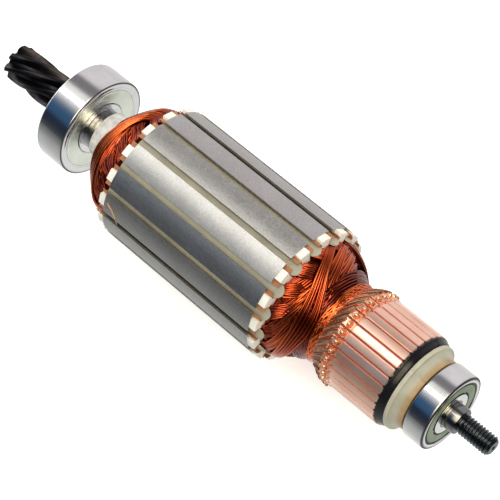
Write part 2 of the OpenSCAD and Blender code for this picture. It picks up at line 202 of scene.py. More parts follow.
def makeStudio():
    # The camera sees a plain backdrop, and matt surfaces a plain light. Gloss sees the sky, a ramp of the
    # angle atan2(z, y) times a level that falls with the slope x, plus boxes, each a ramp of x times one of
    # the angle.
    scene = bpy.context.scene
    scene.view_settings.view_transform = "Standard"
    world = bpy.data.worlds.new("studio")
    world.use_nodes = True
    scene.world = world
    tree = world.node_tree
    tree.nodes.clear()
    ray = addNode(tree, "ShaderNodeTexCoord").outputs["Generated"]
    split = addNode(tree, "ShaderNodeSeparateXYZ", in0=ray)
    slope = split.outputs["X"]
    along = ramp(tree, slope, -1, 1)
    around = ramp(tree, calc(tree, "ARCTAN2", split.outputs["Z"], split.outputs["Y"]), -pi, pi)
    sky = colourRamp(tree, around, studio["sky"], 180, studio["brightest"])
    top = studio["brightest"]
    level = ramp(tree, slope, *studio["farEnd"], top, top * studio["farEndLeft"])
    gloss = addNode(tree, "ShaderNodeBackground", Color=sky, Strength=level).outputs[0]
    for lengthwise, crosswise, tint in studio["boxes"]:
        windows = [colourRamp(tree, value, [(place, (light,) * 3) for place, light in stops], span)
                   for value, stops, span in ((along, lengthwise, 1), (around, crosswise, 180))]
        box = addNode(tree, "ShaderNodeBackground", Color=tint, Strength=calc(tree, "MULTIPLY", *windows))
        gloss = addNode(tree, "ShaderNodeAddShader", in0=gloss, in1=box.outputs[0]).outputs[0]
    soft = addNode(tree, "ShaderNodeBackground", Color=studio["softLight"]).outputs[0]
    plain = addNode(tree, "ShaderNodeBackground", Color=studio["backdrop"]).outputs[0]
    seen = addNode(tree, "ShaderNodeLightPath").outputs
    light = addNode(tree, "ShaderNodeMixShader", in0=seen["Is Diffuse Ray"], in1=gloss, in2=soft).outputs[0]
    mix = addNode(tree, "ShaderNodeMixShader", in0=seen["Is Camera Ray"], in1=light, in2=plain).outputs[0]
    addNode(tree, "ShaderNodeOutputWorld", Surface=mix)


paper = {
    "half": 6.0,  # m
    "tone": 0.86,
    "glow": 0.46,
    "fade": (0.10, 0.15, 1.0, 0.12),  # two distances past aim, in m, and the levels there
    "side": 0.2,  # m, where the ramp below ends
    # distance to the side of the shaft in m, and what metal sees there of the floor
    "inMetal": [
        (-0.20, (0.05, 0.055, 0.06)),
        (-0.077, (0.25, 0.26, 0.255)),
        (-0.043, (0.47, 0.48, 0.46)),
        (-0.029, (0.57, 0.58, 0.55)),
        (-0.020, (0.70, 0.70, 0.67)),
        (-0.012, (0.88, 0.88, 0.85)),
        (0.02, (0.86, 0.87, 0.82)),
        (0.06, (0.78, 0.76, 0.74)),
        (0.20, (0.74, 0.71, 0.70)),
    ],
}


def makeFloor(height):
    # One square face. The camera sees pale paper that glows; every other ray sees a ramp of y times a level
    # that falls as x passes aim.
    half = paper["half"]
    mesh = bpy.data.meshes.new("floor")
    corners = [(x * half, y * half, height) for x, y in ((-1, -1), (1, -1), (1, 1), (-1, 1))]
    mesh.from_pydata(corners, [], [(0, 1, 2, 3)])
    floor = bpy.data.objects.new("floor", mesh)
    bpy.context.scene.collection.objects.link(floor)
    material, tree, shader = newMaterial("floorPaper", (paper["tone"],) * 3, 0.0, 0.9,
                                         Specular_IOR_Level=0.1, Emission_Color=(1, 1, 1),
                                         Emission_Strength=paper["glow"])
    place = addNode(tree, "ShaderNodeNewGeometry").outputs["Position"]
    split = addNode(tree, "ShaderNodeSeparateXYZ", in0=place)
    across = ramp(tree, split.outputs["Y"], -paper["side"], paper["side"])
    tones = colourRamp(tree, across, paper["inMetal"], paper["side"])
    level = ramp(tree, calc(tree, "SUBTRACT", split.outputs["X"], view["aim"][0]), *paper["fade"])
    calm = addNode(tree, "ShaderNodeEmission", Color=tones, Strength=level).outputs[0]
    seen = addNode(tree, "ShaderNodeLightPath").outputs["Is Camera Ray"]
    mix = addNode(tree, "ShaderNodeMixShader", in0=seen, in1=calm, in2=shader.outputs[0]).outputs[0]
    setInputs(tree.nodes["Material Output"], Surface=mix)
    mesh.materials.append(material)


makeCamera()
makeStudio()
makeFloor(cadBox[0][2])
print("camera, floor and light are in place")


def reach(node):
    # Where a CAD node starts and ends along the shaft, and how far it stands from it, in mm
    low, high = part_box(node)
    return round(low[0] / mm, 4), round(high[0] / mm, 4), round(high[2] / mm, 4)


at = {}
at["coreStart"], at["coreEnd"], _ = reach("core_laminations")
at["plateStart"] = reach("end_plate_drive")[0]
at["plateEnd"] = reach("end_plate_comm")[1]
at["headStart"] = reach("armature_winding")[0]
at["bindStart"], at["bindEnd"], _ = reach("lead_binding")
at["riser"], at["trackEnd"], _ = reach("commutator_bars")
at["flangeEnd"] = reach("commutator_moulding")[1]

firstGap = 4.1  # degrees about the shaft, from +Y towards +Z, of a gap between two bars
barStep = 11.25
slotStep = 22.5
slotCount = 16
firstBar = firstGap + barStep / 2
firstSlot = firstGap + barStep


def aboutShaft(x, r, angle):
    # A point at x along the shaft, r from it, and angle radians about it: (x, r cos, r sin)
    x, r, angle = np.broadcast_arrays(x, r, angle)
    return np.stack([x, r * np.cos(angle), r * np.sin(angle)], axis=-1)


def smooth(value, low, high):
    # Rises from 0 at low to 1 at high, as 3s^2 - 2s^3
    s = np.clip((np.asarray(value, float) - low) / (high - low), 0, 1)
    return s * s * (3 - 2 * s)


def fromShaft(grid):
    # Each point's distance from the shaft's middle line: sqrt(y^2 + z^2)
    return np.hypot(grid[..., 1], grid[..., 2])


class Shape:
    # Collects closed surfaces: their points, and their faces as runs of point numbers
    def __init__(self):
        self.points = []
        self.tones = []
        self.loops = []
        self.totals = []
        self.count = 0

    def add(self, points, faces, tone):
        # points (any, 3); faces is a list of whole arrays, each (faces, corners); one tone or one a point
        points = np.asarray(points, float).reshape(-1, 3)
        self.points.append(points)
        self.tones.append(np.broadcast_to(np.asarray(tone, float).ravel(), len(points)))
        for block in faces:
            self.loops.append(block.ravel() + self.count)
            self.totals.append(np.full(len(block), block.shape[1]))
        self.count += len(points)

    def ring(self, grid, tone=0.5):
        # grid (along, across, 3) closed both ways, like a tyre: quads join each point to its neighbours
        rows, cols = grid.shape[:2]
        index = np.pad(np.arange(rows * cols).reshape(rows, cols), ((0, 1), (0, 1)), "wrap")
        quads = np.stack([index[:-1, :-1], index[:-1, 1:], index[1:, 1:], index[1:, :-1]], -1)
        self.add(grid, [quads.reshape(-1, 4)], tone)

    def bundle(self, grids, tones):
        # grids (pieces, along, across, 3): many tubes at once, each closed across and with a face at both
        # ends; tones by piece, and along and across it
        many, rows, cols = grids.shape[:3]
        index = np.arange(many * rows * cols).reshape(many, rows, cols)
        wrap = np.concatenate([index, index[:, :, :1]], axis=2)
        quads = np.stack([wrap[:, :-1, :-1], wrap[:, :-1, 1:], wrap[:, 1:, 1:], wrap[:, 1:, :-1]], -1)
        faces = [quads.reshape(-1, 4), index[:, 0, ::-1], index[:, -1]]
        tones = np.asarray(tones, float)
        tones = tones.reshape(tones.shape + (1,) * (3 - tones.ndim))
        self.add(grids, faces, np.broadcast_to(tones, (many, rows, cols)))


def makePiece(name, shape, body, nodes, material, sharp=35):
    # Puts the collected surfaces into one mesh, at the origin, parents it to its body and hides the CAD
    # nodes that it replaces
    points = np.concatenate(shape.points) * mm
    loops = np.concatenate(shape.loops)
    totals = np.concatenate(shape.totals)
    mesh = bpy.data.meshes.new(name)
    mesh.vertices.add(len(points))
    mesh.vertices.foreach_set("co", points.ravel())
    mesh.loops.add(len(loops))
    mesh.loops.foreach_set("vertex_index", loops)
    mesh.polygons.add(len(totals))
    mesh.polygons.foreach_set("loop_start", np.concatenate([[0], np.cumsum(totals)[:-1]]))
    mesh.polygons.foreach_set("loop_total", totals)
    mesh.update(calc_edges=True)
    mesh.validate()
    tone = mesh.attributes.new("tone", "FLOAT", "POINT")
    tone.data.foreach_set("value", np.concatenate(shape.tones))
    work = bmesh.new()
    work.from_mesh(mesh)
    bmesh.ops.recalc_face_normals(work, faces=work.faces)
    work.to_mesh(mesh)
    work.free()
    mesh.polygons.foreach_set("use_smooth", np.ones(len(mesh.polygons), bool))
    mesh.set_sharp_from_angle(angle=radians(sharp))
    mesh.materials.append(material)
    piece = bpy.data.objects.new(name, mesh)
    bpy.context.scene.collection.objects.link(piece)
    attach(piece, body)
    if nodes:
        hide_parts(*nodes)
    print(name, len(mesh.polygons), "faces")


def rounded(points, radius, steps):
    # A closed outline: a corner at C becomes the curve (1-t)^2 A + 2t(1-t) C + t^2 B, where A and B lie
    # radius away from C, or not quite halfway to the next corner
    points = np.asarray(points, float)
    t = np.linspace(0, 1, steps + 1)[:, None]
    out = []
    for i, corner in enumerate(points):
        size = radius[i] if np.ndim(radius) else radius
        if size <= 0:
            out.append(corner[None])
            continue
        before = points[i - 1] - corner
        after = points[(i + 1) % len(points)] - corner
        start = corner + before * min(size / np.linalg.norm(before), 0.49)
        end = corner + after * min(size / np.linalg.norm(after), 0.49)
        out.append((1 - t) ** 2 * start + 2 * t * (1 - t) * corner + t ** 2 * end)
    return np.concatenate(out)


def spun(profile, count):
    # Each (x, r) of the profile is carried round the shaft
    angle = np.arange(count) * 2 * pi / count
    return aboutShaft(profile[:, :1], profile[:, 1:2], angle[None, :])


def makeRound(name, profile, corner, count, body, node, slot, relief=None, tone=None):
    # A closed profile of (x, r), its corners rounded, carried once round the shaft
    shape = Shape()
    grid = spun(rounded(profile, corner, 5), count)
    tones = tone(grid) if tone else 0.5
    if relief:
        grid = relief(grid)
    shape.ring(grid, tones)
    makePiece(name, shape, body, [node], materials[slot])


def makeGroup(name, inputs, outputs):
    # An empty node group with number sockets, its inputs with their values
    tree = bpy.data.node_groups.new(name, "ShaderNodeTree")
    for title, value in inputs.items():
        socket = tree.interface.new_socket(title, in_out="INPUT", socket_type="NodeSocketFloat")
        socket.default_value = value
    for title in outputs:
        tree.interface.new_socket(title, in_out="OUTPUT", socket_type="NodeSocketFloat")
    return tree, tree.nodes.new("NodeGroupInput").outputs, tree.nodes.new("NodeGroupOutput")


def objectPlace(tree):
    # The point's own x, y and z on the piece, in metres
    return addNode(tree, "ShaderNodeTexCoord").outputs["Object"]


def makeWearGroup():
    # Fine grain, and broad smudges: a slower noise spread from 0.35..0.7 to 0..1
    tree, given, out = makeGroup("wear", {"Grain Scale": 4000.0, "Smudge Scale": 150.0}, ("Grain", "Smudge"))
    place = objectPlace(tree)
    smudge = ramp(tree, noise(tree, place, given["Smudge Scale"], 5.0, 0.6), 0.35, 0.7)
    setInputs(out, Grain=noise(tree, place, given["Grain Scale"], 4.0), Smudge=smudge)
    return tree


def makeTurningGroup():
    # Lathe marks: noise drawn out round the shaft, with a little drift along each ring
    tree, given, out = makeGroup("turning", {"Lines": 9000.0}, ("Marks",))
    drawnOut = addNode(tree, "ShaderNodeVectorMath", "MULTIPLY", in0=objectPlace(tree),
                       in1=(1.0, 0.02, 0.02))
    setInputs(out, Marks=noise(tree, drawnOut.outputs[0], given["Lines"], 2.0, 0.5, 0.3))
    return tree


wearGroup = makeWearGroup()
turningGroup = makeTurningGroup()


def wear(tree, grainScale=4000.0, smudgeScale=150.0):
    # The grain and the smudges
    node = tree.nodes.new("ShaderNodeGroup")
    node.node_tree = wearGroup
    setInputs(node, Grain_Scale=grainScale, Smudge_Scale=smudgeScale)
    return node.outputs["Grain"], node.outputs["Smudge"]


def latheMarks(tree, lines):
    # The marks, with this many to a metre or so
    node = tree.nodes.new("ShaderNodeGroup")
    node.node_tree = turningGroup
    setInputs(node, Lines=lines)
    return node.outputs["Marks"]


def readTone(tree):
    # The number that each point of a piece carries
    node = tree.nodes.new("ShaderNodeAttribute")
    node.attribute_name = "tone"
    return node.outputs["Fac"]


def setBump(tree, shader, height, distance=mm):
    # The surface looks raised by height * distance
    bump = addNode(tree, "ShaderNodeBump", Height=height, Strength=1.0, Distance=distance)
    setInputs(shader, Normal=bump.outputs["Normal"])


def metal(name, colour, dark, rough, grainDepth=0.002, lines=9000.0, lineDepth=0.0, skin=None):
    # Turned or ground metal: lathe marks, grain in the roughness, and smudges that darken it a little. As
    # the tone goes from 0.5 to 1 it takes the colour of a painted dark reflection and gets rougher.
    material, tree, shader = newMaterial(name, colour, 1.0, rough)
    grain, smudge = wear(tree)
    base = mixColour(tree, smudge, colour, dark)
    uneven = scaled(tree, smudge, 0.06, scaled(tree, grain, 0.12, rough - 0.06))
    if skin:
        share = ramp(tree, readTone(tree), 0.5, 1.0)
        base = mixColour(tree, share, base, skin)
        uneven = scaled(tree, share, 0.25, uneven)
    setInputs(shader, Base_Color=base, Roughness=uneven)
    setBump(tree, shader, scaled(tree, latheMarks(tree, lines), lineDepth, scaled(tree, grain, grainDepth)))
    return material


def plastic(name, colour, dark, rough, grainDepth=0.01, grainScale=4000.0, skin=None, **values):
    # Moulded stuff: fine grain and blotches of a darker tone. As the tone goes from 0.5 to 1 it takes the
    # colour of the painted shade.
    material, tree, shader = newMaterial(name, colour, 0.0, rough, **values)
    grain, smudge = wear(tree, grainScale)
    base = mixColour(tree, smudge, colour, dark)
    if skin:
        base = mixColour(tree, ramp(tree, readTone(tree), 0.5, 1.0), base, skin)
    setInputs(shader, Base_Color=base, Roughness=scaled(tree, smudge, 0.15, rough - 0.05))
    setBump(tree, shader, scaled(tree, grain, grainDepth))
    return material


def wireMaterial(name, bright, middle, dark, metallic, coat):
    # Enamelled copper under a clear coat: a wire's tone takes it from bright through middle to dark
    # On the copper wires the tone is painted shade, with bright their lit colour; on the coated leads it is
    # how much resin covers them
    material, tree, shader = newMaterial(name, bright, metallic, 0.2, Coat_Weight=coat, Coat_Roughness=0.08)
    grain, smudge = wear(tree, 1500.0, 300.0)
    tone = scaled(tree, smudge, 0.12, readTone(tree))
    light = mixColour(tree, ramp(tree, tone, 0.0, 0.4), bright, middle)
    base = mixColour(tree, ramp(tree, tone, 0.35, 1.0), light, dark)
    setInputs(shader, Base_Color=base, Roughness=scaled(tree, grain, 0.08, 0.17))
    setBump(tree, shader, scaled(tree, grain, 0.002))
    return material


def barMaterial():
    # Skimmed copper: tone 0 is the clean track, and from 0.3 up it is the hooks, more orange and more uneven
    material, tree, shader = newMaterial("barCopper", (0.9, 0.6, 0.5), 0.86, 0.3)
    hooks = ramp(tree, readTone(tree), 0.0, 0.3)
    grain, smudge = wear(tree, smudgeScale=170.0)
    track = mixColour(tree, smudge, (0.99, 0.68, 0.57), (0.93, 0.57, 0.45))
    fused = mixColour(tree, grain, (1.0, 0.62, 0.44), (0.85, 0.42, 0.27))
    setInputs(shader, Base_Color=mixColour(tree, hooks, track, fused),
              Roughness=scaled(tree, hooks, -0.06, scaled(tree, grain, 0.1, 0.24)))
    rough = calc(tree, "MULTIPLY", grain, scaled(tree, hooks, 0.02, 0.001))
    setBump(tree, shader, scaled(tree, latheMarks(tree, 14000.0), 0.002, rough))
    return material


def shaftMaterial():
    # Blackened steel. Tone 0 is the polished stub, 0.5 the thread, 1 the teeth, which are the darkest
    material, tree, shader = newMaterial("shaftOxide", (0.1, 0.1, 0.1), 1.0, 0.2)
    tone = readTone(tree)
    grain, smudge = wear(tree, smudgeScale=260.0)
    thread = mixColour(tree, smudge, (0.07, 0.085, 0.10), (0.13, 0.145, 0.16))
    teeth = mixColour(tree, smudge, (0.020, 0.020, 0.025), (0.052, 0.046, 0.050))
    base = mixColour(tree, ramp(tree, tone, 0.0, 0.5), (0.24, 0.235, 0.24), thread)
    base = mixColour(tree, ramp(tree, tone, 0.5, 1.0), base, teeth)
    setInputs(shader, Base_Color=base, Roughness=scaled(tree, tone, 0.16, scaled(tree, grain, 0.16, 0.10)))
    setBump(tree, shader, scaled(tree, latheMarks(tree, 9000.0), 0.004, scaled(tree, grain, 0.004)))
    return material


def collarMaterial():
    # Tone 0 is a matt cast skin, pale with grey clouds; tone 1 is turned bright
    material, tree, shader = newMaterial("collarMetal", (0.6, 0.6, 0.6), 0.5, 0.5)
    tone = readTone(tree)
    grain, smudge = wear(tree, 1400.0, 420.0)
    cast = mixColour(tree, smudge, (0.88, 0.87, 0.86), (0.5, 0.5, 0.52))
    turned = mixColour(tree, smudge, (0.34, 0.34, 0.37), (0.62, 0.62, 0.64))
    setInputs(shader, Base_Color=mixColour(tree, tone, cast, turned), Metallic=tone,
              Roughness=scaled(tree, tone, -0.34, 0.56))
    setBump(tree, shader, scaled(tree, grain, 0.02))
    return material


def linerMaterial():
    # Brown paper, with painted shade where it lies down in a slot, so dark there and paler from the last mm
    # out, by the distance along the shaft from the core's middle
    material, tree, shader = newMaterial("linerPaper", (0.4, 0.2, 0.1), 0.0, 0.5)
    x = addNode(tree, "ShaderNodeSeparateXYZ", in0=objectPlace(tree)).outputs["X"]
    middle = (at["coreStart"] + at["coreEnd"]) / 2 * mm
    half = (at["coreEnd"] - at["coreStart"]) / 2 * mm
    out = ramp(tree, calc(tree, "ABSOLUTE", calc(tree, "SUBTRACT", x, middle)), half - mm, half)
    grain, smudge = wear(tree, 1500.0, 200.0)
    ends = mixColour(tree, smudge, (0.47, 0.21, 0.09), (0.30, 0.11, 0.045))
    # Painted shade: the paper in the slot is near-black
    setInputs(shader, Base_Color=mixColour(tree, out, (0.07, 0.045, 0.03), ends))
    setBump(tree, shader, scaled(tree, grain, 0.03))
    return material


def ringMaterial():
    # Milky nylon: tone 1 is painted shade, a brown, in the recess
    material, tree, shader = newMaterial("ringIvory", (0.7, 0.7, 0.6), 0.0, 0.4, Subsurface_Weight=0.2,
                                         Subsurface_Scale=0.002, Coat_Weight=0.15)
    grain, smudge = wear(tree, smudgeScale=180.0)
    unshaded = mixColour(tree, smudge, (0.47, 0.465, 0.385), (0.38, 0.37, 0.29))
    shadeBrown = mixColour(tree, smudge, (0.42, 0.27, 0.11), (0.26, 0.17, 0.07))
    setInputs(shader, Base_Color=mixColour(tree, ramp(tree, readTone(tree), 0.0, 1.0), unshaded, shadeBrown))
    setBump(tree, shader, scaled(tree, grain, 0.008))
    return material


core = {
    "sheet": 0.5 * mm,
    "bright": (0.70, 0.695, 0.69),
    "dull": (0.50, 0.505, 0.51),
    "joint": (0.16, 0.16, 0.17),
    "stain": (0.33, 0.31, 0.28),
}


def coreMaterial():
    # Stacked sheets: a dark joint where x / sheet passes a whole number, flecks two to a sheet and drawn out
    # along x, and broad stains
    material, tree, shader = newMaterial("coreSteel", (0.5, 0.5, 0.5), 1.0, 0.36)
    place = objectPlace(tree)
    x = addNode(tree, "ShaderNodeSeparateXYZ", in0=place).outputs["X"]
    saw = calc(tree, "FRACT", calc(tree, "MULTIPLY", x, 1 / core["sheet"]))
    joint = ramp(tree, calc(tree, "ABSOLUTE", calc(tree, "SUBTRACT", saw, 0.5)), 0.3, 0.5)
    stripes = addNode(tree, "ShaderNodeVectorMath", "MULTIPLY", in0=place,
                      in1=(2 / core["sheet"], 1500.0, 1500.0))
    fleck = noise(tree, stripes.outputs[0], 1.0, 2.0, 0.5)
    smudge = wear(tree, smudgeScale=90.0)[1]
    base = mixColour(tree, ramp(tree, fleck, 0.3, 0.7), core["dull"], core["bright"])
    base = mixColour(tree, scaled(tree, joint, 0.55), base, core["joint"])
    base = mixColour(tree, scaled(tree, smudge, 0.25), base, core["stain"])
    setInputs(shader, Base_Color=base, Roughness=scaled(tree, fleck, 0.2, 0.29))
    setBump(tree, shader, scaled(tree, joint, -0.02, scaled(tree, fleck, 0.01)))
    return material


def bindingMaterial():
    # Resin over string: coarse lumps from brown to a dusty tan, with redder clouds
    material, tree, shader = newMaterial("leadResin", (0.3, 0.2, 0.13), 0.0, 0.4, Coat_Weight=0.7,
                                         Coat_Roughness=0.12)
    place = objectPlace(tree)
    coarse = noise(tree, place, 1100.0, 6.0, 0.7)
    broad = noise(tree, place, 350.0, 3.0)
    base = mixColour(tree, ramp(tree, coarse, 0.35, 0.65), (0.13, 0.055, 0.03), (0.46, 0.33, 0.21))
    setInputs(shader, Base_Color=mixColour(tree, ramp(tree, broad, 0.5, 0.7), base, (0.27, 0.10, 0.04)))
    setBump(tree, shader, coarse, 0.25 * mm)
    return material


materials = {
    "shaft_steel": shaftMaterial(),
    "sleeve_plastic": plastic("sleevePlastic", (0.03, 0.03, 0.033), (0.05, 0.05, 0.05), 0.5),
    "collar_metal": collarMaterial(),
    "core_steel": coreMaterial(),
    "plate_white": plastic("plateWhite", (0.88, 0.88, 0.83), (0.74, 0.72, 0.63), 0.5),
    "liner_paper": linerMaterial(),
    "shred_paper": plastic("shredPaper", (0.58, 0.36, 0.22), (0.38, 0.2, 0.1), 0.6, 0.03, 1500.0),
    "wedge_laminate": plastic("wedgeLaminate", (0.47, 0.445, 0.345), (0.35, 0.33, 0.25), 0.5, 0.03, 1800.0),
    "copper_wire": wireMaterial("copperWire", (1.0, 0.26, 0.028), (0.62, 0.07, 0.009),
                                (0.10, 0.003, 0.0012), 0.97, 0.5),
    "coated_lead": wireMaterial("coatedLead", (0.93, 0.18, 0.04), (0.6, 0.09, 0.03),
                                (0.22, 0.11, 0.055), 0.7, 0.6),
    # Near-black red: painted shade for what shows between the turns
    "coil_shadow": plastic("coilShadow", (0.05, 0.006, 0.002), (0.02, 0.003, 0.002), 0.9,
                           Specular_IOR_Level=0.0),
    "lead_resin": bindingMaterial(),
    "bar_copper": barMaterial(),
    "bar_mica": plastic("barMica", (0.52, 0.085, 0.035), (0.3, 0.05, 0.02), 0.6, 0.05, 2500.0),
    "moulding_black": plastic("mouldingBlack", (0.004, 0.004, 0.007), (0.008, 0.008, 0.011), 0.15,
                              Specular_IOR_Level=0.35),
    "bush_steel": metal("bushSteel", (0.5, 0.5, 0.52), (0.4, 0.4, 0.42), 0.3, lineDepth=0.01),
    "ring_ivory": ringMaterial(),
    "bearing_steel": metal("bearingSteel", (0.80, 0.80, 0.82), (0.70, 0.70, 0.72), 0.14, 0.0015, 20000.0,
                           0.001, skin=(0.07, 0.07, 0.08)),
    "bearing_balls": metal("ballSteel", (0.85, 0.85, 0.87), (0.8, 0.8, 0.82), 0.06),
    "cage_steel": metal("cageSteel", (0.6, 0.6, 0.58), (0.45, 0.45, 0.42), 0.3),
    "shield_steel": metal("shieldSteel", (0.80, 0.84, 0.76), (0.70, 0.73, 0.66), 0.24, 0.004,
                          lineDepth=0.004),
    "seal_rubber": plastic("sealRubber", (0.20, 0.27, 0.175), (0.15, 0.21, 0.13), 0.4, 0.02,
                           skin=(0.012, 0.014, 0.012)),
}
slotOf = {row["node"]: row["material_slot"] for row in frame["record"]["subparts"]}
for nodeName, nodeObject in frame["nodes"].items():
    nodeObject.data.materials.clear()
    nodeObject.data.materials.append(materials[slotOf[nodeName]])
print("materials are made")


def smoothProfile(points, blur=1.2):
    # A profile of (x, r), straight between its points, averaged over blur mm each way
    xs, rs = np.array(points, float).T
    x = np.arange(xs[0] - 2 * blur, xs[-1] + 2 * blur, 0.1)
    r = np.interp(x, xs, rs)
    window = np.hanning(2 * round(blur / 0.1) + 1)
    r = np.convolve(np.pad(r, len(window) // 2, "edge"), window / window.sum(), "valid")
    return x, r


def headRadius(head, x):
    # The smoothed profile's r at x
    return np.interp(x, *smoothProfile(head["profile"]))


def wobble(count, t, amount, waves=(1.3, 2.7, 4.6)):
    # Slow uneven waves along each wire: a sum of sines with a random start, weaker as they get quicker
    total = 0
    for i, wave in enumerate(waves):
        start = rng.uniform(0, 2 * pi, (count, 1))
        total = total + np.sin(wave * pi * t + start) / (i + 1)
    return amount * total


def tubes(paths, radius, sides):
    # Round wires: at each point of a path a ring of this radius square to it, beginning away from the shaft
    along = np.gradient(paths, axis=1)
    along /= np.linalg.norm(along, axis=-1, keepdims=True)
    out = paths * (0, 1, 1)
    out /= np.linalg.norm(out, axis=-1, keepdims=True)
    out -= along * (out * along).sum(-1, keepdims=True)
    out /= np.linalg.norm(out, axis=-1, keepdims=True)
    side = np.cross(along, out)
    turn = np.arange(sides) * 2 * pi / sides
    ring = np.cos(turn)[:, None] * out[:, :, None] + np.sin(turn)[:, None] * side[:, :, None]
    return paths[:, :, None] + radius * ring


def shadeRound(tones, sides):
    # Painted shade: a wire's colour is bright on the side away from the shaft and darkens as (1 - cos) / 2
    # grows round it
    turn = np.arange(sides) * 2 * pi / sides
    return tones[:, :, None] + 0.85 * smooth((1 - np.cos(turn)) / 2, 0.03, 0.42)


coils = {
    "wireR": 0.35,
    "spacing": 0.82,
    "wires": 6,  # side by side in a coil
    "layers": 2,
    "layerDepth": 0.42,
    "cover": 0.12,  # over the top layer's wires, up to the profile
    "pitch": 7,  # slots from one side of a coil to the other
    "segments": 50,
    "sides": 7,
    "power": (0.9, 0.62),  # how squarely the first half and the second half of a coil end leave the slots
    "fan": 2.0,  # degrees between neighbours where they leave the slot
    "waves": (0.7, 1.4, 2.6),
    "topCoil": 5,  # the last coil's middle, in slots from the first slot
    "spread": 0.34,  # of the wires' tones at random, and the painted shade that a coil and a layer underneath add to them
    "orderShade": 0.045,
    "layerShade": 0.35,
}

commHead = {
    "profile": [(86, 19.3), (91, 19.25), (93.3, 18.2), (95.7, 16.9), (98, 15.2), (100.4, 13.5),
                (102.4, 12.6), (104, 12.5)],
    "plate": at["plateEnd"],
    "direction": 1,
    "mouth": -0.5,
    # painted shade near the plate, in the valley by the core
    "valleyShade": 0.15,
    "rise": [11.9, 11.2, 10.3, 8.6, 7.2, 6.2, 5.4, 4.8],  # mm, one for each coil from the last wound down
    "depth": [0.0, 0.75, 1.3, 1.8, 2.2, 2.5, 2.8, 3.0],
    "sink": 0.2,
    "fanDepth": (0.3, 2.6),
}

driveHead = {
    "profile": [(11, 10.5), (13.1, 12.0), (14.5, 13.6), (17.3, 15.6), (20, 17.7), (22.0, 19.2),
                (24.2, 18.2), (27.1, 18.9), (30, 19.2)],
    "plate": at["plateStart"],
    "direction": -1,
    "mouth": -0.5,
    # painted shade near the plate, in the valley by the core
    "valleyShade": 0.5,
    "rise": [12.6, 11.6, 10.6, 9.4, 8.2, 7.2, 6.4, 5.6],
    "depth": [0.0, 0.6, 1.1, 1.5, 1.9, 2.2, 2.5, 2.8],
    "sink": 1.1,
    "fanDepth": (0.15, 1.2),
}


def coilPaths(head, order, middle):
    # One coil's end: along u from -1 to 1 the wires swing half the pitch each way from the coil's middle,
    # and stand off the core by rise * cos(u * 90 degrees)^power, sharper where they leave the slot. They lie
    # deep under the profile by their coil's depth and, near the slots, by sink * (1 - cos^power)^2.
    wires = coils["wires"]
    layers = coils["layers"]
    count = wires * layers
    u = np.linspace(-1, 1, coils["segments"])[None]
    place = np.repeat(np.arange(wires) - (wires - 1) / 2, layers)[:, None]
    layer = np.tile(np.arange(layers), wires)[:, None]
    swell = np.cos(u * pi / 2 * 0.999) ** np.where(u * head["direction"] > 0, *coils["power"][::-1])
    rise = head["rise"][order] + coils["spacing"] * (place - (wires - 1) / 2 + 0.5 * layer)
    rise = rise + wobble(count, u, 0.09, coils["waves"]) + 0.12 * rng.uniform(-1, 1, (count, 1))
    angle = middle + u * coils["pitch"] * slotStep / 2 + place * coils["fan"] * u ** 3
    angle = angle + wobble(count, u, 0.5) * (1 - u ** 2)
    x = head["plate"] + head["direction"] * (head["mouth"] + np.maximum(rise, 1.5) * swell)
    deep = head["depth"][order] * (0.4 + 0.6 * swell) + head["sink"] * (1 - swell) ** 2
    deep = deep + coils["layerDepth"] * layer + coils["cover"] + wobble(count, u, 0.05, coils["waves"])
    return aboutShaft(x, headRadius(head, x) - coils["wireR"] - deep, np.radians(angle))


fans = {
    "count": 8,  # in each slot's mouth
    "length": 6.4,
    "half": 6.0,  # degrees to each side of the slot's middle
    "lean": 17,  # degrees
}


def addFans(shape, head):
    # Older turns low in each slot's mouth, which run under the others: they lean round as t^1.6 and sink
    # as t^2
    count = fans["count"]
    t = np.linspace(0, 1, 14)[None]
    place = np.linspace(-1, 1, count)[:, None]
    for slot in range(slotCount):
        middle = firstSlot + slotStep * slot
        length = (fans["length"] + 0.7 * place) * t + wobble(count, t, 0.08)
        x = head["plate"] + head["direction"] * (head["mouth"] + length)
        angle = middle + fans["half"] * place - 2 - fans["lean"] * t ** 1.6 + wobble(count, t, 0.3)
        deep = head["fanDepth"][0] + head["fanDepth"][1] * t ** 2 + 0.1 * rng.uniform(-1, 1, (count, 1))
        r = headRadius(head, x) - coils["wireR"] - deep
        # Random tone plus part of the valley's painted shade
        tones = rng.uniform(0.1, 0.4, (count, 1)) + head["valleyShade"] * 0.6 + 0 * x
        shape.bundle(tubes(aboutShaft(x, r, np.radians(angle)), coils["wireR"], 6), shadeRound(tones, 6))


def makeCoilEnds(name, head):
    # The coils of one end, two at a time on opposite sides, from the first wound to the last
    shape = Shape()
    layer = np.tile(np.arange(coils["layers"]), coils["wires"])[:, None]
    for order in range(len(head["rise"]) - 1, -1, -1):
        for opposite in (0, slotCount // 2):
            slot = coils["topCoil"] + 0.5 - order + opposite
            paths = coilPaths(head, order, firstSlot + slotStep * slot)
            tones = coils["spread"] * rng.uniform(0, 1, (len(paths), 1)) ** 1.4
            # Painted shade: darker for each coil wound earlier, for the layer underneath, and near the plate
            tones = tones + coils["orderShade"] * order + coils["layerShade"] * layer
            near = np.abs(paths[:, :, 0] - head["plate"])
            tones = tones + head["valleyShade"] * (1 - smooth(near, 1.0, 5.0))
            shape.bundle(tubes(paths, coils["wireR"], coils["sides"]), shadeRound(tones, coils["sides"]))
    addFans(shape, head)
    makePiece(name, shape, "rotor", ["armature_winding"], materials["copper_wire"], 80)


hoops = {
    "arcs": 5,
    "first": 131,  # degrees, the first arc's middle
    "half": 58,  # degrees to each side of an arc's middle
    # the count, the first one's x, the step along x, how far the ends lean away, the depth and the painted
    # shade
    "neck": [(4, 101.0, 0.55, 1.7, 0.15, 0.0), (9, 97.4, 0.6, 0.5, 1.0, 0.45)],
    "head": [(10, 14.0, 0.72, 0.5, 2.9, 0.4)],
}


